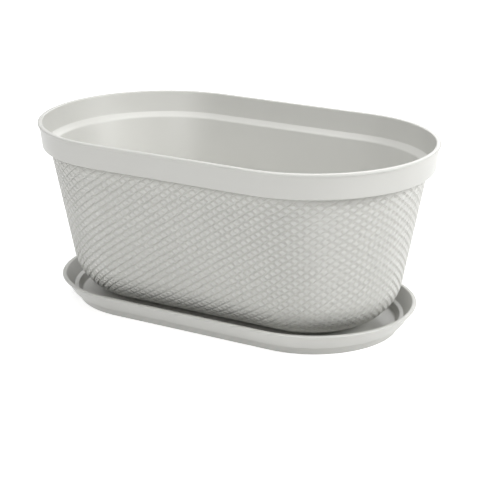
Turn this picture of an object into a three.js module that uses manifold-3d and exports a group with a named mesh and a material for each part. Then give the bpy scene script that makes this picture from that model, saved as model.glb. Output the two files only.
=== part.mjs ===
// Oval planter: a tapered pot with a smooth rim band, standing loose in a matching oval saucer.
// Both are thin-walled plastic mouldings. Millimetres, +Z up, +X along the length. The origin is on
// the surface that the saucer stands on, under the middle of the oval.
import * as THREE from "three";
import { mergeVertices, toCreasedNormals } from "three/addons/utils/BufferGeometryUtils.js";
import Module from "manifold-3d";

// The pot's overall sizes, over the lip and from its feet to its rim.
const RIM_LENGTH = 400;
const RIM_WIDTH = 234;
const POT_HEIGHT = 173.4;
const POT_WALL = 2.8;
const POT_FLOOR = 3.2;

// The lip is the bead round the mouth, and the band is the smooth wall under it.
const LIP_REACH = 1.6;
const LIP_HEIGHT = 2.8;
const BAND_HEIGHT = 20.8;
const BAND_LEAN = 2.2;
const BAND_OVERHANG = 7.2;
const BAND_UNDERSIDE_RISE = 2.4;
const LEDGE_DROP = 3.8;

// The body under the band narrows downwards, and turns into its flat base in one large round.
const BODY_DRAFT = THREE.MathUtils.degToRad(10.6);
const BOTTOM_ROUNDING = 44;
const EDGE_ROUNDING = 1.2;
const CREASE_ROUNDING = 0.5;

// The weave is a net of diamond pads on the body, with grooves between them. The columns are
// counted along one side and round one end. The rows here end a little above the round of the
// bottom, and the real ones go on under it. The highest pads have their middles a share of a pad
// below the band, and the first ones the same share past the start of each end.
const SIDE_COLUMNS = 15;
const END_COLUMNS = 28;
const WEAVE_ROWS = 12;
const WEAVE_FOOT_ROOM = 18.3;
const WEAVE_START = 1 / 6;
const GROOVE_DEPTH = 0.9;

// Feet under the base keep it above the water in the saucer, and drain holes lie between them.
const FOOT_HEIGHT = 5;
const FOOT_DIAMETER = 15;
const FOOT_DRAFT = 0.8;
const FOOT_MARGIN = 4;
const DRAIN_DIAMETER = 5.5;
const DRAIN_SPACING = 27;
const DRAINS_PER_ROW = 5;

// The saucer goes round the foot of the body, with room for water and for fingers.
const SAUCER_HEIGHT = 23.6;
const SAUCER_WALL = 2.3;
const SAUCER_FLOOR = 2.5;
const SAUCER_SIDE_ROOM = 18;
const SAUCER_END_ROOM = 20.2;
const SAUCER_LIP_REACH = 1.5;
const SAUCER_LIP_HEIGHT = 1.8;
const SAUCER_WALL_LEAN = 8.4;
const SAUCER_STEP_HEIGHT = 8.7;
const SAUCER_STEP_WIDTH = 3.5;
const SAUCER_FOOT_LEAN = 3.4;
const STAND_RECESS = 1.2;
const STAND_WIDTH = 5;
const WATER_CORNER_ROUNDING = 2.5;

// Clearance between the pot's feet and the saucer's floor.
const SEAT_GAP = 0.3;

// Fineness of the faceted surfaces. Faces that meet at less than the crease angle look smooth.
const CREASE_ANGLE = THREE.MathUtils.degToRad(25);
const END_SIDES = 24;
const POST_SIDES = 12;
const CHORD_ERROR = 0.25;
const MERGE_DISTANCE = 1e-4;

const wasm = await Module();
wasm.setup();

// Turns corners [radius, height, rounding] into the points of a profile whose corners are arcs.
// A wall between two rounded corners is shared, so an arc takes up to half of it.
function roundedProfile(corners) {
  const points = [];
  corners.forEach(([radius, height, rounding = 0], i) => {
    const corner = new THREE.Vector2(radius, height);
    if (!rounding) {
      points.push(corner);
      return;
    }
    const wallTo = (other) => new THREE.Vector2(other[0], other[1]).sub(corner);
    const [before, after] = [wallTo(corners[i - 1]), wallTo(corners[i + 1])];
    const turn = Math.PI - Math.acos(before.dot(after) / before.length() / after.length());
    const share = (other) => (other[2] ? 0.5 : 1);
    const room = Math.min(before.length() * share(corners[i - 1]), after.length() * share(corners[i + 1]));
    const tangent = Math.min(rounding * Math.tan(turn / 2), room);
    const size = tangent / Math.tan(turn / 2);
    const start = before.setLength(tangent).add(corner);
    const end = after.setLength(tangent).add(corner);
    const inwards = start.clone().add(end).multiplyScalar(0.5).sub(corner);
    const centre = inwards.setLength(Math.hypot(size, tangent)).add(corner);
    const stepAngle = 2 * Math.acos(1 - CHORD_ERROR / Math.max(size, 1));
    const steps = Math.max(2, Math.ceil(turn / stepAngle));
    const side = Math.sign(start.clone().sub(centre).cross(end.clone().sub(centre)));
    for (let step = 0; step <= steps; step++) {
      points.push(start.clone().rotateAround(centre, (side * turn * step) / steps));
    }
  });
  return points;
}

// A ring of points round an oval, anticlockwise from the start of its right end. Its four stretches
// are the right end, the back, the left end and the front, and way counts along them. Each point is
// late steps past its even place. place gives the radius, the height and whether the point is deep
// in a groove, from the number of the point.
function ovalRing(straightLength, [endSteps, sideSteps], late, place) {
  const ring = [];
  const half = straightLength / 2;
  for (let stretch = 0; stretch < 4; stretch++) {
    const side = stretch < 2 ? 1 : -1;
    const steps = stretch % 2 ? sideSteps : endSteps;
    for (let step = 0; step < steps; step++) {
      const share = (step + late) / steps;
      const { radius, height, deep } = place(ring.length);
      const angle = Math.PI * (share - 0.5);
      const x = stretch % 2 ? half * (1 - 2 * share) : half + radius * Math.cos(angle);
      const y = stretch % 2 ? radius : radius * Math.sin(angle);
      ring.push({ way: stretch + share, point: [side * x, side * y, height], deep });
    }
  }
  return ring;
}

const plainRing = (straightLength, { x: radius, y: height }) =>
  ovalRing(straightLength, [END_SIDES, 1], 0, () => ({ radius, height }));

// Joins two rings with triangles, going round both at once. Where a step has two deep points, the
// edge between its triangles joins them.
function stitch(lower, upper) {
  const positions = [];
  const at = (ring, i) => ring[i % ring.length];
  const wayOf = (ring, i) => (i < ring.length ? ring[i].way : 4 + ring[0].way);
  let [i, j] = [0, 0];
  while (i < lower.length || j < upper.length) {
    const [lowerWay, upperWay] = [wayOf(lower, i + 1), wayOf(upper, j + 1)];
    const grooveRises = at(lower, i).deep && at(upper, j + 1).deep;
    const alongLower = i < lower.length && (j === upper.length || lowerWay < upperWay);
    if (alongLower || (lowerWay === upperWay && i < lower.length && !grooveRises)) {
      positions.push(...at(lower, i).point, ...at(lower, i + 1).point, ...at(upper, j).point);
      i++;
    } else {
      positions.push(...at(lower, i).point, ...at(upper, j + 1).point, ...at(upper, j).point);
      j++;
    }
  }
  return positions;
}

// Closes a flat ring with a fan of triangles that face up or down.
function cap(ring, facesUp) {
  const centre = [0, 0, ring[0].point[2]];
  return ring.flatMap(({ point }, i) => {
    const next = ring[(i + 1) % ring.length].point;
    return facesUp ? [...centre, ...point, ...next] : [...centre, ...next, ...point];
  });
}

// Makes a closed solid of rings that run from under its base, out, up, over and in to its floor.
function ovalSolid(rings) {
  const walls = rings.slice(1).flatMap((ring, i) => stitch(rings[i], ring));
  const positions = [...cap(rings[0], false), ...walls, ...cap(rings.at(-1), true)];
  const geometry = new THREE.BufferGeometry();
  geometry.setAttribute("position", new THREE.Float32BufferAttribute(positions, 3));
  return solidOf(geometry);
}

// A solid of a closed geometry, for joining and cutting. Faces with no area are left out.
function solidOf(geometry) {
  const bare = geometry.clone();
  bare.deleteAttribute("normal");
  bare.deleteAttribute("uv");
  const merged = mergeVertices(bare, MERGE_DISTANCE);
  const triVerts = [];
  for (let i = 0; i < merged.index.count; i += 3) {
    const [a, b, c] = merged.index.array.slice(i, i + 3);
    if (a !== b && b !== c && c !== a) triVerts.push(a, b, c);
  }
  const vertProperties = merged.getAttribute("position").array;
  const mesh = new wasm.Mesh({ numProp: 3, vertProperties, triVerts: new Uint32Array(triVerts) });
  return new wasm.Manifold(mesh);
}

// An upright round post, a little narrower at its lower end.
function post(x, y, bottom, top, lowerDiameter, upperDiameter) {
  const height = top - bottom;
  const shape = new THREE.CylinderGeometry(upperDiameter / 2, lowerDiameter / 2, height, POST_SIDES);
  shape.rotateX(Math.PI / 2);
  shape.translate(x, y, bottom + height / 2);
  return solidOf(shape);
}

function meshOf(name, solid, material) {
  const { vertProperties, triVerts } = solid.getMesh();
  const geometry = new THREE.BufferGeometry();
  geometry.setAttribute("position", new THREE.BufferAttribute(vertProperties, 3));
  geometry.setIndex(new THREE.BufferAttribute(triVerts, 1));
  const mesh = new THREE.Mesh(toCreasedNormals(geometry, CREASE_ANGLE), material);
  mesh.name = name;
  return mesh;
}

// Sizes of the pot that follow from the driving ones. Radii are those of the round ends, which are
// also half the widths. Heights are over the pot's own feet.
const straight = RIM_LENGTH - RIM_WIDTH;
const rimRadius = RIM_WIDTH / 2;
const bandTopRadius = rimRadius - LIP_REACH;
const bandEdgeRadius = bandTopRadius - BAND_LEAN;
const bodyTopRadius = bandEdgeRadius - BAND_OVERHANG;
const lipUnderside = POT_HEIGHT - LIP_HEIGHT;
const bandEdgeHeight = lipUnderside - BAND_HEIGHT;
const bodyTopHeight = bandEdgeHeight - BAND_UNDERSIDE_RISE;
const draftSlope = Math.tan(BODY_DRAFT);
const bodyFootRadius = bodyTopRadius - (bodyTopHeight - FOOT_HEIGHT) * draftSlope;
const floorTop = FOOT_HEIGHT + POT_FLOOR;

// The inner wall runs beside the outer one, one wall thickness in.
const wallAcross = POT_WALL / Math.cos(BODY_DRAFT);
const ledgeOuterRadius = bandEdgeRadius - POT_WALL;
const ledgeInnerRadius = bodyTopRadius - wallAcross;
const ledgeHeight = bandEdgeHeight + POT_WALL;
const innerFootRadius = bodyFootRadius - wallAcross + POT_FLOOR * draftSlope;

// The body's wall goes straight down for this length, and is then tangent to the round below it.
const roundTangent = BOTTOM_ROUNDING * Math.tan((Math.PI / 2 - BODY_DRAFT) / 2);
const wallLength = (bodyTopHeight - FOOT_HEIGHT) / Math.cos(BODY_DRAFT) - roundTangent;
const flatRadius = bodyFootRadius - roundTangent;

// The rings of the weave, from its lowest row up to its highest. Pads and crossings take turns
// round each ring and from ring to ring, and the lowest ring is level with the plain wall.
function weaveRings() {
  const rings = [];
  const rowHeight = (wallLength - WEAVE_FOOT_ROOM) / WEAVE_ROWS;
  const lowest = 2 * WEAVE_ROWS - 1;
  for (let step = lowest; step >= 0; step--) {
    const wayDown = (step / 2 + WEAVE_START) * rowHeight;
    const steps = [2 * END_COLUMNS, 2 * SIDE_COLUMNS];
    const ring = ovalRing(straight, steps, 2 * WEAVE_START, (i) => {
      const deep = step < lowest && (i + step) % 2 === 1;
      const depth = deep ? GROOVE_DEPTH : 0;
      return {
        radius: bodyTopRadius - wayDown * Math.sin(BODY_DRAFT) - depth * Math.cos(BODY_DRAFT),
        height: bodyTopHeight - wayDown * Math.cos(BODY_DRAFT) + depth * Math.sin(BODY_DRAFT),
        deep,
      };
    });
    rings.push(ring);
  }
  return rings;
}

function makePot() {
  const belowWeave = roundedProfile([
    [flatRadius - FOOT_MARGIN, FOOT_HEIGHT],
    [bodyFootRadius, FOOT_HEIGHT, BOTTOM_ROUNDING],
    [bodyTopRadius, bodyTopHeight],
  ]).slice(1, -1);
  const aboveWeave = roundedProfile([
    [bodyTopRadius, bodyTopHeight],
    [bandEdgeRadius, bandEdgeHeight, EDGE_ROUNDING],
    [bandTopRadius, lipUnderside],
    [rimRadius, lipUnderside, EDGE_ROUNDING],
    [rimRadius, POT_HEIGHT, EDGE_ROUNDING],
    [bandTopRadius - POT_WALL, POT_HEIGHT, EDGE_ROUNDING],
    [ledgeOuterRadius, ledgeHeight, EDGE_ROUNDING],
    [ledgeInnerRadius, ledgeHeight - LEDGE_DROP, POT_WALL],
    [innerFootRadius, floorTop, BOTTOM_ROUNDING - POT_WALL],
    [0, floorTop],
  ]).slice(0, -1);
  const plain = (profile) => profile.map((point) => plainRing(straight, point));
  const shell = ovalSolid([...plain(belowWeave), ...weaveRings(), ...plain(aboveWeave)]);
  return cutDrains(addFeet(shell));
}

// Six feet: three on each side, inside the edge of the flat base.
function addFeet(shell) {
  const rowOffset = flatRadius - FOOT_MARGIN - FOOT_DIAMETER / 2;
  let pot = shell;
  for (const x of [-straight / 2, 0, straight / 2]) {
    for (const y of [-rowOffset, rowOffset]) {
      const top = FOOT_HEIGHT + POT_FLOOR / 2;
      pot = pot.add(post(x, y, 0, top, FOOT_DIAMETER - FOOT_DRAFT, FOOT_DIAMETER));
    }
  }
  return pot;
}

// Two rows of drain holes through the floor, along its middle.
function cutDrains(solid) {
  let pot = solid;
  for (let i = 0; i < DRAINS_PER_ROW; i++) {
    const x = (i - (DRAINS_PER_ROW - 1) / 2) * DRAIN_SPACING;
    for (const y of [-DRAIN_SPACING / 2, DRAIN_SPACING / 2]) {
      const hole = post(x, y, 0, floorTop + FOOT_HEIGHT, DRAIN_DIAMETER, DRAIN_DIAMETER);
      pot = pot.subtract(hole);
    }
  }
  return pot;
}

// Sizes of the saucer that follow from the foot of the body and the room round it.
const saucerRimRadius = bodyFootRadius + SAUCER_SIDE_ROOM;
const saucerStraight = straight + 2 * (SAUCER_END_ROOM - SAUCER_SIDE_ROOM);
const saucerWallRadius = saucerRimRadius - SAUCER_LIP_REACH;
const stepRadius = saucerWallRadius - SAUCER_WALL_LEAN;
const footTopRadius = stepRadius - SAUCER_STEP_WIDTH;
const standRadius = footTopRadius - SAUCER_FOOT_LEAN;
const saucerLipUnderside = SAUCER_HEIGHT - SAUCER_LIP_HEIGHT;
const waterFloor = STAND_RECESS + SAUCER_FLOOR;
const innerStepHeight = SAUCER_STEP_HEIGHT + SAUCER_FLOOR;

function makeSaucer() {
  const profile = roundedProfile([
    [standRadius - STAND_WIDTH, STAND_RECESS],
    [standRadius - STAND_WIDTH, 0],
    [standRadius, 0, CREASE_ROUNDING],
    [footTopRadius, SAUCER_STEP_HEIGHT, CREASE_ROUNDING],
    [stepRadius, SAUCER_STEP_HEIGHT, EDGE_ROUNDING],
    [saucerWallRadius, saucerLipUnderside, CREASE_ROUNDING],
    [saucerRimRadius, saucerLipUnderside, CREASE_ROUNDING],
    [saucerRimRadius, SAUCER_HEIGHT, EDGE_ROUNDING],
    [saucerWallRadius - SAUCER_WALL, SAUCER_HEIGHT, EDGE_ROUNDING],
    [stepRadius - SAUCER_WALL + CREASE_ROUNDING, innerStepHeight, EDGE_ROUNDING],
    [footTopRadius - SAUCER_WALL, innerStepHeight, EDGE_ROUNDING],
    [standRadius - SAUCER_WALL, waterFloor, WATER_CORNER_ROUNDING],
    [0, waterFloor],
  ]).slice(0, -1);
  return ovalSolid(profile.map((point) => plainRing(saucerStraight, point)));
}

// Light warm grey plastic: the pot is satin, and the saucer has the same colour.
const plastic = new THREE.MeshStandardMaterial({ color: 0xc9cac4, roughness: 0.45, metalness: 0 });

const planter = new THREE.Group();
const saucer = meshOf("saucer", makeSaucer(), plastic);
planter.add(saucer);

const potSeat = new THREE.Group();
potSeat.position.z = waterFloor + SEAT_GAP;
potSeat.add(meshOf("planter_pot", makePot(), plastic));
planter.add(potSeat);

export default planter;
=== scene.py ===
import math

import bpy
import numpy as np
from mathutils import Matrix, Vector


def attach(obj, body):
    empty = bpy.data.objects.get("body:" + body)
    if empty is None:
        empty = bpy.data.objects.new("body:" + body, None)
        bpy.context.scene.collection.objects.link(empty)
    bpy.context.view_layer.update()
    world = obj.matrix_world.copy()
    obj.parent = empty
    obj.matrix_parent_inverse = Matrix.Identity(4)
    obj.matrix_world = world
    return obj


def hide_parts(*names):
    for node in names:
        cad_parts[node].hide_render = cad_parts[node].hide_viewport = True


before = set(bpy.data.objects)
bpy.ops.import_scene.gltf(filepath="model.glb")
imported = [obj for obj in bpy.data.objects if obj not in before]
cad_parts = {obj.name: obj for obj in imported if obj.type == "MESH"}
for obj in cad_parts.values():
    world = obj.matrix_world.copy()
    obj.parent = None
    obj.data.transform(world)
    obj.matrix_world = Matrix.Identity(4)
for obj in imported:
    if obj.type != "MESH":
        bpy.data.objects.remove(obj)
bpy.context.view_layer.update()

# The pot: one thin-walled moulding in light warm grey plastic, with a lip round the mouth, a
# smooth band under it, and a tapered body. The outer wall goes straight down from under the band
# and turns into the base in one large round. Radii are those of the round ends.
HALF_STRAIGHT = 0.083
LIP_RADIUS = 0.117
LIP_TOP = 0.1774
LIP_UNDERSIDE = 0.1746
BAND_TOP_RADIUS = 0.1154
BAND_EDGE_RADIUS = 0.1132
BAND_EDGE_HEIGHT = 0.1538
BODY_TOP_RADIUS = 0.1060
BODY_TOP_HEIGHT = 0.1514
BASE_HEIGHT = 0.0090
BOTTOM_ROUNDING = 0.044
DRAFT = math.radians(10.6)
UNDERSIDE_START = 0.3
MOUTH_RADIUS = 0.1126
LEDGE_OUTER_RADIUS = 0.1104
LEDGE_HEIGHT = 0.1566
LEDGE_INNER_RADIUS = 0.10315
LEDGE_FOOT_HEIGHT = 0.1528
INNER_FOOT_RADIUS = 0.0771
FLOOR_HEIGHT = 0.0122
INNER_ROUNDING = 0.0412
FLAT_RADIUS = 0.0420
EDGE_ROUNDING = 0.0012
CREASE_ROUNDING = 0.0005
LEDGE_ROUNDING = 0.0028
SIDE_STEPS = 32
END_STEPS = 84
SAME_PLACE = 1e-5


def draw_section(name, half_straight, corners):
    """Draws a wall's section across the start of the right end. A point is extruded from corner
    to corner, and corners of (radius, height, rounding, steps) are rounded with a bevel."""
    bpy.ops.object.select_all(action="DESELECT")
    bpy.ops.mesh.primitive_plane_add(size=0.001)
    section = bpy.context.object
    section.name = name
    bpy.ops.object.mode_set(mode="EDIT")
    bpy.ops.mesh.select_mode(type="VERT")
    bpy.ops.mesh.select_all(action="SELECT")
    bpy.ops.mesh.merge(type="CENTER")
    places = [Vector((half_straight, -corner[0], corner[1])) for corner in corners]
    bpy.ops.transform.translate(value=places[0])
    for before, after in zip(places, places[1:]):
        bpy.ops.mesh.extrude_region_move(TRANSFORM_OT_translate={"value": after - before})
    for index, corner in enumerate(corners):
        if len(corner) < 4:
            continue
        to_before = places[index - 1] - places[index]
        to_after = places[index + 1] - places[index]
        bend = math.pi - to_before.angle(to_after)
        bpy.ops.mesh.select_mode(type="VERT")
        bpy.ops.mesh.select_all(action="DESELECT")
        bpy.ops.object.mode_set(mode="OBJECT")
        for vertex in section.data.vertices:
            vertex.select = (vertex.co - places[index]).length < SAME_PLACE
        bpy.ops.object.mode_set(mode="EDIT")
        bpy.ops.mesh.bevel(
            affect="VERTICES",
            offset=corner[2] * math.tan(bend / 2),
            segments=corner[3],
            profile=0.5,
            clamp_overlap=False,
        )
    return section


def sweep_oval(half_straight, side_steps, end_steps):
    """Sweeps the section that is open in edit mode once round the oval, and closes the seam."""
    bpy.ops.mesh.select_mode(type="EDGE")
    bpy.ops.mesh.select_all(action="SELECT")
    for side in (1, -1):
        bpy.ops.mesh.spin(
            steps=end_steps, angle=-math.pi, center=(side * half_straight, 0, 0), axis=(0, 0, 1)
        )
        stride = -side * 2 * half_straight / side_steps
        bpy.ops.mesh.extrude_repeat(steps=side_steps, offset=(stride, 0, 0))
    bpy.ops.mesh.select_all(action="SELECT")
    bpy.ops.mesh.remove_doubles(threshold=SAME_PLACE)
    bpy.ops.object.mode_set(mode="OBJECT")


def select_vertices(piece, chosen):
    """Selects the vertices of the piece in edit mode that a numpy mask names."""
    bpy.ops.mesh.select_mode(type="VERT")
    bpy.ops.mesh.select_all(action="DESELECT")
    bpy.ops.object.mode_set(mode="OBJECT")
    piece.data.vertices.foreach_set("select", chosen)
    bpy.ops.object.mode_set(mode="EDIT")


def vertex_places(piece):
    """The places of the piece's vertices, one row each."""
    places = np.empty(len(piece.data.vertices) * 3)
    piece.data.vertices.foreach_get("co", places)
    return places.reshape(-1, 3)


def turn_faces_out():
    """Points all faces of the active piece outwards."""
    bpy.ops.object.mode_set(mode="EDIT")
    bpy.ops.mesh.select_all(action="SELECT")
    bpy.ops.mesh.normals_make_consistent(inside=False)
    bpy.ops.object.mode_set(mode="OBJECT")


# The smooth part: under the band, over the lip, down past the ledge and the inner wall, to the
# edge of the flat floor.
smooth_wall = draw_section(
    "smooth_wall",
    HALF_STRAIGHT,
    [
        (
            BODY_TOP_RADIUS + UNDERSIDE_START * (BAND_EDGE_RADIUS - BODY_TOP_RADIUS),
            BODY_TOP_HEIGHT + UNDERSIDE_START * (BAND_EDGE_HEIGHT - BODY_TOP_HEIGHT),
        ),
        (BAND_EDGE_RADIUS, BAND_EDGE_HEIGHT, EDGE_ROUNDING, 4),
        (BAND_TOP_RADIUS, LIP_UNDERSIDE, CREASE_ROUNDING, 3),
        (LIP_RADIUS, LIP_UNDERSIDE, EDGE_ROUNDING, 4),
        (LIP_RADIUS, LIP_TOP, EDGE_ROUNDING, 4),
        (MOUTH_RADIUS, LIP_TOP, EDGE_ROUNDING, 4),
        (LEDGE_OUTER_RADIUS, LEDGE_HEIGHT, EDGE_ROUNDING, 3),
        (LEDGE_INNER_RADIUS, LEDGE_FOOT_HEIGHT, LEDGE_ROUNDING, 4),
        (INNER_FOOT_RADIUS, FLOOR_HEIGHT, INNER_ROUNDING, 10),
        (FLAT_RADIUS, FLOOR_HEIGHT),
    ],
)
sweep_oval(HALF_STRAIGHT, SIDE_STEPS, END_STEPS)

# The floor and its feet: a flat slab with two rows of drain holes and six round feet under it. Its
# outer edge is opened, to be joined to the walls.
FOOT_RADIUS = 0.0075
FOOT_TIP_RADIUS = 0.0071
FOOT_BOTTOM = 0.0040
FOOT_ROOT = 0.0106
FOOT_OFFSET = 0.03135
FOOT_SIDES = 40
DRAIN_RADIUS = 0.00275
DRAIN_SPACING = 0.027
DRAIN_LENGTH = 0.01
DRAIN_SIDES = 32
OPEN_EDGE_REACH = 0.0005

floor_slab = draw_section(
    "floor_slab", HALF_STRAIGHT, [(FLAT_RADIUS, FLOOR_HEIGHT), (FLAT_RADIUS, BASE_HEIGHT)]
)
sweep_oval(HALF_STRAIGHT, SIDE_STEPS, END_STEPS)
slab_heights = vertex_places(floor_slab)[:, 2]
bpy.ops.object.mode_set(mode="EDIT")
for height in (FLOOR_HEIGHT, BASE_HEIGHT):
    select_vertices(floor_slab, abs(slab_heights - height) < SAME_PLACE)
    bpy.ops.mesh.edge_face_add()
turn_faces_out()

posts = []
for column in (-1, 0, 1):
    for row in (-1, 1):
        bpy.ops.object.select_all(action="DESELECT")
        bpy.ops.mesh.primitive_cone_add(
            vertices=FOOT_SIDES,
            radius1=FOOT_TIP_RADIUS,
            radius2=FOOT_RADIUS,
            depth=FOOT_ROOT - FOOT_BOTTOM,
            location=(column * HALF_STRAIGHT, row * FOOT_OFFSET, (FOOT_BOTTOM + FOOT_ROOT) / 2),
        )
        posts.append((bpy.context.object, "UNION"))
for column in (-2, -1, 0, 1, 2):
    for row in (-0.5, 0.5):
        at = (column * DRAIN_SPACING, row * DRAIN_SPACING, (BASE_HEIGHT + FLOOR_HEIGHT) / 2)
        bpy.ops.object.select_all(action="DESELECT")
        bpy.ops.mesh.primitive_cylinder_add(
            vertices=DRAIN_SIDES, radius=DRAIN_RADIUS, depth=DRAIN_LENGTH, location=at
        )
        posts.append((bpy.context.object, "DIFFERENCE"))
for post, operation in posts:
    joined = floor_slab.modifiers.new("post", "BOOLEAN")
    joined.object = post
    joined.operation = operation
    joined.solver = "EXACT"
    bpy.ops.object.select_all(action="DESELECT")
    bpy.context.view_layer.objects.active = floor_slab
    bpy.ops.object.modifier_apply(modifier=joined.name)
    bpy.data.objects.remove(post)

bpy.ops.object.mode_set(mode="EDIT")
bpy.ops.mesh.select_mode(type="FACE")
bpy.ops.mesh.select_all(action="DESELECT")
bpy.ops.object.mode_set(mode="OBJECT")
for face in floor_slab.data.polygons:
    beyond = max(abs(face.center.x) - HALF_STRAIGHT, 0)
    upright = abs(face.normal.z) < 0.5
    at_edge = math.hypot(beyond, face.center.y) > FLAT_RADIUS - OPEN_EDGE_REACH
    face.select = upright and at_edge
bpy.ops.object.mode_set(mode="EDIT")
bpy.ops.mesh.delete(type="FACE")
bpy.ops.object.mode_set(mode="OBJECT")

# The weave on the body is a net of low diamond pads with grooves between them: 15.5 columns of
# pads along each side and 28 round each end, in rows that run down into the round of the bottom.
# Ribs cross the falling grooves at the middle of each pad's edge, and the rising ones dip there.
SIDE_COLUMNS = 15.5
END_COLUMNS = 28
COLUMNS = round(2 * (SIDE_COLUMNS + END_COLUMNS))
WEAVE_ROWS = 19
ROW_HEIGHT = 0.0075
FIRST_PAD_COLUMN = 0.14
FIRST_PAD_ROW = 0.01
PAD_FACES = 5
RELIEF_FOOT = 0.385
RELIEF_END = 0.28
RELIEF_LEAN = 0.01
RIB_DEPTH = 0.00025
CROWN_DEPTH = 0.00025
RIB_FOOT_DEPTH = 0.00105
SLOT_EDGE_DEPTH = 0.00065
PAD_CORNER_DEPTH = 0.00115
SLOT_DEPTH = 0.0017
CROSSING_DEPTH = 0.0014
PAD_MERGE = 1e-4
BISECT_REACH = 1e-6

# One pad is a square panel of five by five faces. Its inner lines are drawn out to RELIEF_END, where
# its crown, its ribs and its slots end, and to RELIEF_FOOT, the foot of its flanks. RELIEF_LEAN
# slants the ribs and slots a little, and each kind of vertex is pressed in to its own depth. The
# square is turned into a diamond. Its copies make a flat panel as long as the way round the body,
# which is measured in columns and rows along and in metres deep.
bpy.ops.object.select_all(action="DESELECT")
bpy.ops.mesh.primitive_grid_add(x_subdivisions=PAD_FACES, y_subdivisions=PAD_FACES, size=1)
weave = bpy.context.object
weave.name = "weave"
pad = vertex_places(weave)
to_slot, to_rib = np.rint(abs(pad[:, :2]) * PAD_FACES - 0.5).T
bpy.ops.object.mode_set(mode="EDIT")
for step, place in ((0, RELIEF_END), (1, RELIEF_FOOT)):
    stretch = place * PAD_FACES / (step + 0.5)
    select_vertices(weave, to_slot == step)
    bpy.ops.transform.resize(value=(stretch, 1, 1), center_override=(0, 0, 0))
    select_vertices(weave, to_rib == step)
    bpy.ops.transform.resize(value=(1, stretch, 1), center_override=(0, 0, 0))
for way in (-1, 1):
    select_vertices(weave, (to_slot == 0) & (to_rib > 0) & (pad[:, 0] * way > 0))
    bpy.ops.transform.translate(value=(0, -way * RELIEF_LEAN, 0))
    select_vertices(weave, (to_rib == 0) & (to_slot > 0) & (pad[:, 1] * way > 0))
    bpy.ops.transform.translate(value=(-way * RELIEF_LEAN, 0, 0))
for slot_step, rib_step, depth in (
    (0, 0, CROWN_DEPTH),
    (0, 1, RIB_FOOT_DEPTH),
    (1, 0, SLOT_EDGE_DEPTH),
    (1, 1, PAD_CORNER_DEPTH),
    (0, 2, RIB_DEPTH),
    (1, 2, PAD_CORNER_DEPTH),
    (2, 0, SLOT_DEPTH),
    (2, 1, CROSSING_DEPTH),
    (2, 2, CROSSING_DEPTH),
):
    select_vertices(weave, (to_slot == slot_step) & (to_rib == rib_step))
    bpy.ops.transform.translate(value=(0, 0, -depth))
bpy.ops.object.mode_set(mode="OBJECT")
weave.rotation_euler = (0, 0, -math.pi / 4)
bpy.ops.object.transform_apply(rotation=True)
weave.scale = (math.sqrt(0.5), math.sqrt(0.5), 1)
weave.location = (FIRST_PAD_COLUMN, 1 - FIRST_PAD_ROW, 0)
bpy.ops.object.transform_apply(location=True, scale=True)
for count, stride in ((2, (0.5, -0.5, 0)), (WEAVE_ROWS + 2, (0, -1, 0)), (COLUMNS, (1, 0, 0))):
    copies = weave.modifiers.new("copies", "ARRAY")
    copies.count = count
    copies.use_relative_offset = False
    copies.use_constant_offset = True
    copies.constant_offset_displace = stride
    copies.use_merge_vertices = True
    copies.merge_threshold = PAD_MERGE
    bpy.context.view_layer.objects.active = weave
    bpy.ops.object.modifier_apply(modifier=copies.name)

# The panel is cut off straight at both long edges. Below its last row, plain strips go on to the
# edge of the base.
PLAIN_STEPS = 3
straight_way = (BODY_TOP_HEIGHT - BASE_HEIGHT) / math.cos(DRAFT) - BOTTOM_ROUNDING * math.tan(
    (math.pi / 2 - DRAFT) / 2
)
whole_way = straight_way + BOTTOM_ROUNDING * (math.pi / 2 - DRAFT)
plain_stride = (whole_way / ROW_HEIGHT - WEAVE_ROWS) / PLAIN_STEPS

bpy.ops.object.mode_set(mode="EDIT")
for end, outwards in ((0, (0, 1, 0)), (-WEAVE_ROWS, (0, -1, 0))):
    bpy.ops.mesh.select_all(action="SELECT")
    bpy.ops.mesh.bisect(
        plane_co=(0, end, 0),
        plane_no=outwards,
        use_fill=False,
        clear_outer=True,
        threshold=BISECT_REACH,
    )
bpy.ops.object.mode_set(mode="OBJECT")
last_row = vertex_places(weave)[:, 1] < PAD_MERGE - WEAVE_ROWS
bpy.ops.object.mode_set(mode="EDIT")
select_vertices(weave, last_row)
for step in range(PLAIN_STEPS):
    bpy.ops.mesh.extrude_region_move(TRANSFORM_OT_translate={"value": (0, -plain_stride, 0)})
bpy.ops.object.mode_set(mode="OBJECT")

# The flat panel is wrapped round the body: its length goes round the oval, its rows go down the
# wall and into the round of the bottom, and its grooves go straight into the wall. They are
# deeper on the round, fade out at the last row, and a plain neck runs round under the band.
WEAVE_FADE = 0.005
NECK_DEPTH = 0.0021
NECK_WAY = 0.0035
LOW_DEEPENING = 0.5
LOW_WAY = 0.02

flat = vertex_places(weave)
column = flat[:, 0] % COLUMNS
way_down = -flat[:, 1] * ROW_HEIGHT
depth = -flat[:, 2] * np.clip((WEAVE_ROWS * ROW_HEIGHT - way_down) / WEAVE_FADE, 0, 1)
depth *= 1 + LOW_DEEPENING * np.clip((way_down - straight_way) / LOW_WAY, 0, 1)
depth = np.maximum(depth, NECK_DEPTH * (1 - way_down / NECK_WAY))

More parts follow.
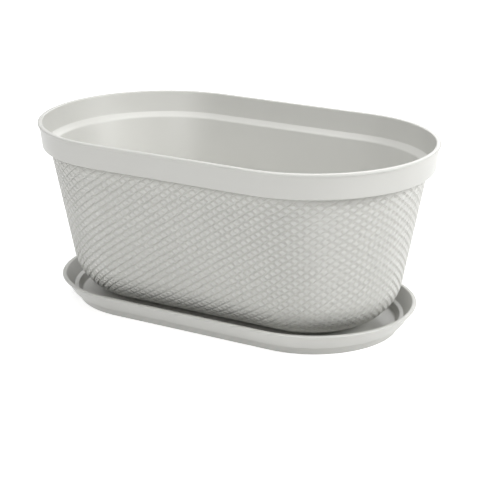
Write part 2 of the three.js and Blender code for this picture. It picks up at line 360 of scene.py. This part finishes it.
bend = np.clip((way_down - straight_way) / BOTTOM_ROUNDING, 0, None)
tilt = DRAFT + bend
wall_way = np.minimum(way_down, straight_way)
round_centre = (
    BODY_TOP_RADIUS - straight_way * math.sin(DRAFT) - BOTTOM_ROUNDING * math.cos(DRAFT),
    BODY_TOP_HEIGHT - straight_way * math.cos(DRAFT) + BOTTOM_ROUNDING * math.sin(DRAFT),
)
on_round = way_down > straight_way
radius = np.where(
    on_round,
    round_centre[0] + BOTTOM_ROUNDING * np.cos(tilt),
    BODY_TOP_RADIUS - wall_way * math.sin(DRAFT),
)
height = np.where(
    on_round,
    round_centre[1] - BOTTOM_ROUNDING * np.sin(tilt),
    BODY_TOP_HEIGHT - wall_way * math.cos(DRAFT),
)
radius = radius - depth * np.cos(tilt)
height = height + depth * np.sin(tilt)

stretches = (
    (0, END_COLUMNS, "end"),
    (END_COLUMNS, END_COLUMNS + SIDE_COLUMNS, "side"),
    (END_COLUMNS + SIDE_COLUMNS, 2 * END_COLUMNS + SIDE_COLUMNS, "end"),
    (2 * END_COLUMNS + SIDE_COLUMNS, COLUMNS, "side"),
)
places = np.empty_like(flat)
for number, (first, last, kind) in enumerate(stretches):
    here = (column >= first) & (column <= last)
    share = (column[here] - first) / (last - first)
    side = 1 if number < 2 else -1
    if kind == "end":
        angle = math.pi * share - math.pi / 2
        places[here, 0] = side * (HALF_STRAIGHT + radius[here] * np.cos(angle))
        places[here, 1] = side * radius[here] * np.sin(angle)
    else:
        places[here, 0] = side * HALF_STRAIGHT * (1 - 2 * share)
        places[here, 1] = side * radius[here]
places[:, 2] = height
weave.data.vertices.foreach_set("co", places.ravel())
weave.data.update()

# The three parts become one closed wall: the seam of the weave is merged, and the weave is
# bridged to the underside of the band and to the edge of the base.
BAND_GAP = (0.14, 0.16)
BASE_GAP = (BASE_HEIGHT - 0.0001, FLOOR_HEIGHT - 0.0005)

bpy.ops.object.select_all(action="DESELECT")
for part in (smooth_wall, floor_slab, weave):
    part.select_set(True)
bpy.context.view_layer.objects.active = weave
bpy.ops.object.join()
pot = bpy.context.object
pot.name = "woven_pot"
bpy.ops.object.mode_set(mode="EDIT")
bpy.ops.mesh.select_all(action="SELECT")
bpy.ops.mesh.remove_doubles(threshold=SAME_PLACE)
bpy.ops.object.mode_set(mode="OBJECT")


def open_edge_vertices(piece, lowest, highest):
    """The vertices on the mesh's open edges between two heights, as a mask."""
    uses = np.zeros(len(piece.data.edges), dtype=int)
    loops = np.empty(len(piece.data.loops), dtype=int)
    piece.data.loops.foreach_get("edge_index", loops)
    np.add.at(uses, loops, 1)
    ends = np.empty(len(piece.data.edges) * 2, dtype=int)
    piece.data.edges.foreach_get("vertices", ends)
    mask = np.zeros(len(piece.data.vertices), dtype=bool)
    mask[ends.reshape(-1, 2)[uses == 1].ravel()] = True
    heights = vertex_places(piece)[:, 2]
    return mask & (heights > lowest) & (heights < highest)


for lowest, highest in (BAND_GAP, BASE_GAP):
    loop = open_edge_vertices(pot, lowest, highest)
    bpy.ops.object.mode_set(mode="EDIT")
    select_vertices(pot, loop)
    bpy.ops.mesh.select_mode(type="EDGE")
    bpy.ops.mesh.bridge_edge_loops()
    bpy.ops.object.mode_set(mode="OBJECT")
turn_faces_out()
bpy.ops.object.shade_smooth_by_angle(angle=math.radians(30))

# The plastic's noises are (scale, detail). The satin varies by its spread from place to place.
DRIFT_NOISE = (14, 3)
SATIN_NOISE = (60, 4)
GRAIN_NOISE = (1800, 2)
SATIN_SPREAD = 0.10
COLOUR_DRIFT = 0.06
ROUGHNESS = 0.34
GRAIN_HEIGHT = 0.00001
PLASTIC_IOR = 1.48
POT_GREY = (0.606, 0.605, 0.576)


def plastic_grain():
    """The fine surface of moulded plastic: a faint drift of the colour, a satin that varies a
    little from place to place, and a fine grain in the height."""
    group = bpy.data.node_groups.new("plastic_grain", "ShaderNodeTree")
    sockets = group.interface
    sockets.new_socket("Colour", in_out="INPUT", socket_type="NodeSocketColor")
    sockets.new_socket("Drift", in_out="INPUT", socket_type="NodeSocketFloat")
    sockets.new_socket("Roughness", in_out="INPUT", socket_type="NodeSocketFloat")
    sockets.new_socket("Colour", in_out="OUTPUT", socket_type="NodeSocketColor")
    sockets.new_socket("Roughness", in_out="OUTPUT", socket_type="NodeSocketFloat")
    sockets.new_socket("Height", in_out="OUTPUT", socket_type="NodeSocketFloat")
    nodes, links = group.nodes, group.links
    given = nodes.new("NodeGroupInput")
    out = nodes.new("NodeGroupOutput")
    where = nodes.new("ShaderNodeTexCoord")

    def noise(scale, detail):
        node = nodes.new("ShaderNodeTexNoise")
        node.inputs["Scale"].default_value = scale
        node.inputs["Detail"].default_value = detail
        links.new(where.outputs["Object"], node.inputs["Vector"])
        return node.outputs["Fac"]

    def arithmetic(operation, *values):
        node = nodes.new("ShaderNodeMath")
        node.operation = operation
        for socket, value in zip(node.inputs, values):
            if isinstance(value, (int, float)):
                socket.default_value = value
            else:
                links.new(value, socket)
        return node.outputs[0]

    centred = arithmetic("SUBTRACT", noise(*DRIFT_NOISE), 0.5)
    gain = arithmetic("MULTIPLY_ADD", centred, given.outputs["Drift"], 1)
    shade = nodes.new("ShaderNodeHueSaturation")
    links.new(given.outputs["Colour"], shade.inputs["Color"])
    links.new(gain, shade.inputs["Value"])
    links.new(shade.outputs["Color"], out.inputs["Colour"])
    satin = arithmetic("MULTIPLY_ADD", noise(*SATIN_NOISE), SATIN_SPREAD, -SATIN_SPREAD / 2)
    links.new(arithmetic("ADD", satin, given.outputs["Roughness"]), out.inputs["Roughness"])
    links.new(noise(*GRAIN_NOISE), out.inputs["Height"])
    return group


grain = plastic_grain()


def moulded_plastic(name, colour):
    """A satin moulded plastic in the given colour."""
    material = bpy.data.materials.new(name)
    material.use_nodes = True
    nodes, links = material.node_tree.nodes, material.node_tree.links
    shader = nodes["Principled BSDF"]
    surface = nodes.new("ShaderNodeGroup")
    surface.node_tree = grain
    surface.inputs["Colour"].default_value = (*colour, 1)
    surface.inputs["Drift"].default_value = COLOUR_DRIFT
    surface.inputs["Roughness"].default_value = ROUGHNESS
    bump = nodes.new("ShaderNodeBump")
    bump.inputs["Strength"].default_value = 1
    bump.inputs["Distance"].default_value = GRAIN_HEIGHT
    links.new(surface.outputs["Colour"], shader.inputs["Base Color"])
    links.new(surface.outputs["Roughness"], shader.inputs["Roughness"])
    links.new(surface.outputs["Height"], bump.inputs["Height"])
    links.new(bump.outputs["Normal"], shader.inputs["Normal"])
    shader.inputs["IOR"].default_value = PLASTIC_IOR
    return material


pot.data.materials.clear()
pot.data.materials.append(moulded_plastic("pot_plastic", POT_GREY))
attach(pot, "pot")
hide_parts("planter_pot")

# The saucer: an oval tray moulded in the same plastic, with a lip, a sloping wall, a step half
# way down and a low foot. It stands on a narrow ring, and its floor holds the drained water.
SAUCER_HALF_STRAIGHT = 0.0852
SAUCER_FLOOR_EDGE = 0.0700
SAUCER_FLOOR_RADIUS = 0.07825
SAUCER_FLOOR_HEIGHT = 0.0037
SAUCER_FLOOR_ROUNDING = 0.0025
STAND_INNER_RADIUS = 0.07555
STAND_RADIUS = 0.08055
STAND_RECESS = 0.0012
SAUCER_FOOT_RADIUS = 0.08395
SAUCER_STEP_RADIUS = 0.08745
SAUCER_STEP_HEIGHT = 0.0087
SAUCER_WALL_RADIUS = 0.09585
SAUCER_LIP_RADIUS = 0.09735
SAUCER_LIP_UNDERSIDE = 0.0218
SAUCER_LIP_TOP = 0.0236
SAUCER_MOUTH_RADIUS = 0.09355
SAUCER_LEDGE_RADIUS = 0.08565
SAUCER_LEDGE_EDGE = 0.08165
SAUCER_LEDGE_HEIGHT = 0.0112
SAUCER_SIDE_STEPS = 6
SAUCER_END_STEPS = 72
HEIGHT_REACH = 0.0005
SAUCER_GREY = (0.606, 0.605, 0.576)

saucer = draw_section(
    "drip_saucer",
    SAUCER_HALF_STRAIGHT,
    [
        (SAUCER_FLOOR_EDGE, STAND_RECESS),
        (STAND_INNER_RADIUS, STAND_RECESS),
        (STAND_INNER_RADIUS, 0),
        (STAND_RADIUS, 0, CREASE_ROUNDING, 3),
        (SAUCER_FOOT_RADIUS, SAUCER_STEP_HEIGHT, CREASE_ROUNDING, 2),
        (SAUCER_STEP_RADIUS, SAUCER_STEP_HEIGHT, EDGE_ROUNDING, 4),
        (SAUCER_WALL_RADIUS, SAUCER_LIP_UNDERSIDE, CREASE_ROUNDING, 2),
        (SAUCER_LIP_RADIUS, SAUCER_LIP_UNDERSIDE, CREASE_ROUNDING, 2),
        (SAUCER_LIP_RADIUS, SAUCER_LIP_TOP, EDGE_ROUNDING, 4),
        (SAUCER_MOUTH_RADIUS, SAUCER_LIP_TOP, EDGE_ROUNDING, 4),
        (SAUCER_LEDGE_RADIUS, SAUCER_LEDGE_HEIGHT, EDGE_ROUNDING, 4),
        (SAUCER_LEDGE_EDGE, SAUCER_LEDGE_HEIGHT, EDGE_ROUNDING, 4),
        (SAUCER_FLOOR_RADIUS, SAUCER_FLOOR_HEIGHT, SAUCER_FLOOR_ROUNDING, 5),
        (SAUCER_FLOOR_EDGE, SAUCER_FLOOR_HEIGHT),
    ],
)
sweep_oval(SAUCER_HALF_STRAIGHT, SAUCER_SIDE_STEPS, SAUCER_END_STEPS)
for height in (STAND_RECESS, SAUCER_FLOOR_HEIGHT):
    loop = open_edge_vertices(saucer, height - HEIGHT_REACH, height + HEIGHT_REACH)
    bpy.ops.object.mode_set(mode="EDIT")
    select_vertices(saucer, loop)
    bpy.ops.mesh.edge_face_add()
    bpy.ops.object.mode_set(mode="OBJECT")
turn_faces_out()
bpy.ops.object.shade_smooth_by_angle(angle=math.radians(40))

saucer.data.materials.clear()
saucer.data.materials.append(moulded_plastic("saucer_plastic", SAUCER_GREY))
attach(saucer, "saucer")
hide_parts("saucer")

# The studio table is wide, pale and matt. It glows faintly, as a white table throws light back. To
# the camera and in reflections it looks white, but for the planter's shadow close to the saucer.
TABLE_SIZE = 12
TABLE_COLOUR = (0.85, 0.85, 0.85, 1)
TABLE_ROUGHNESS = 0.9
TABLE_GLOW = 0.12
SEEN_TABLE_GLOW = 0.64
SHADOW_REACH = 0.4
WHITE_REACH = 1.8
WHITE = (1, 1, 1, 1)


def seen_or_reflected(nodes, links):
    """A value of 1 for what the camera sees straight or in a gloss, and 0 for all other light."""
    ray = nodes.new("ShaderNodeLightPath")
    seen = nodes.new("ShaderNodeMath")
    seen.operation = "MAXIMUM"
    links.new(ray.outputs["Is Camera Ray"], seen.inputs[0])
    links.new(ray.outputs["Is Glossy Ray"], seen.inputs[1])
    return seen.outputs[0]


bpy.ops.object.select_all(action="DESELECT")
bpy.ops.mesh.primitive_plane_add(size=TABLE_SIZE)
floor = bpy.context.object
floor.name = "studio_floor"
floor_material = bpy.data.materials.new("studio_white")
floor_material.use_nodes = True
nodes, links = floor_material.node_tree.nodes, floor_material.node_tree.links
floor_shader = nodes["Principled BSDF"]
floor_shader.inputs["Base Color"].default_value = TABLE_COLOUR
floor_shader.inputs["Roughness"].default_value = TABLE_ROUGHNESS
floor_shader.inputs["Specular IOR Level"].default_value = 0
where = nodes.new("ShaderNodeTexCoord")
away = nodes.new("ShaderNodeVectorMath")
away.operation = "LENGTH"
links.new(where.outputs["Object"], away.inputs[0])
seen_glow = nodes.new("ShaderNodeMapRange")
seen_glow.inputs["From Min"].default_value = SHADOW_REACH
seen_glow.inputs["From Max"].default_value = WHITE_REACH
seen_glow.inputs["To Min"].default_value = SEEN_TABLE_GLOW
seen_glow.inputs["To Max"].default_value = 1
links.new(away.outputs["Value"], seen_glow.inputs["Value"])
glow = nodes.new("ShaderNodeMapRange")
glow.inputs["To Min"].default_value = TABLE_GLOW
links.new(seen_glow.outputs["Result"], glow.inputs["To Max"])
links.new(seen_or_reflected(nodes, links), glow.inputs["Value"])
floor_shader.inputs["Emission Color"].default_value = WHITE
links.new(glow.outputs["Result"], floor_shader.inputs["Emission Strength"])
floor.data.materials.append(floor_material)

# The surroundings look white to the camera and in reflections, and light nothing else.
world = bpy.data.worlds.new("studio")
bpy.context.scene.world = world
world.use_nodes = True
nodes, links = world.node_tree.nodes, world.node_tree.links
background = nodes["Background"]
background.inputs["Color"].default_value = WHITE
links.new(seen_or_reflected(nodes, links), background.inputs["Strength"])

# Four square soft lamps face the middle of the planter: a wide one overhead, one in front, one at
# the right end and a faint one behind. Each is a name, a place, a width and watts.
LAMP_AIM = Vector((0, 0, 0.09))
LAMPS = (
    ("lamp_top", (0, 0, 2.09), 2.2, 35),
    ("lamp_front", (0.137, -1.553, 0.99), 0.8, 11),
    ("lamp_right", (1.535, 0.271, 0.99), 0.8, 19),
    ("lamp_back", (-0.404, 1.506, 1.1), 0.8, 6),
)
for name, at, width, watts in LAMPS:
    bpy.ops.object.select_all(action="DESELECT")
    bpy.ops.object.light_add(type="AREA", location=at)
    lamp = bpy.context.object
    lamp.name = name
    lamp.data.size = width
    lamp.data.energy = watts
    away = (Vector(at) - LAMP_AIM).normalized()
    lamp.rotation_euler = away.to_track_quat("Z", "Y").to_euler()

# The camera stands to the right of the middle of the long side and looks a little down on the
# planter, from far enough away that the rim keeps its shape.
CAMERA_AT = Vector((0.7464, -1.2218, 0.5423))
CAMERA_AZIMUTH = 0.5447
CAMERA_ELEVATION = 0.3205
CAMERA_ROLL = -0.005
CAMERA_LENS = 118.25
CAMERA_SENSOR = 36

bpy.ops.object.select_all(action="DESELECT")
bpy.ops.object.camera_add(location=CAMERA_AT)
camera = bpy.context.object
camera.data.lens = CAMERA_LENS
camera.data.sensor_width = CAMERA_SENSOR
backwards = Vector(
    (
        math.sin(CAMERA_AZIMUTH) * math.cos(CAMERA_ELEVATION),
        -math.cos(CAMERA_AZIMUTH) * math.cos(CAMERA_ELEVATION),
        math.sin(CAMERA_ELEVATION),
    )
)
level_right = Vector((0, 0, 1)).cross(backwards).normalized()
level_up = backwards.cross(level_right)
right = level_right * math.cos(CAMERA_ROLL) + level_up * math.sin(CAMERA_ROLL)
up = level_up * math.cos(CAMERA_ROLL) - level_right * math.sin(CAMERA_ROLL)
turn = Matrix((right, up, backwards)).transposed().to_4x4()
camera.matrix_world = Matrix.Translation(CAMERA_AT) @ turn
bpy.context.scene.camera = camera
bpy.context.scene.view_settings.view_transform = "Standard"
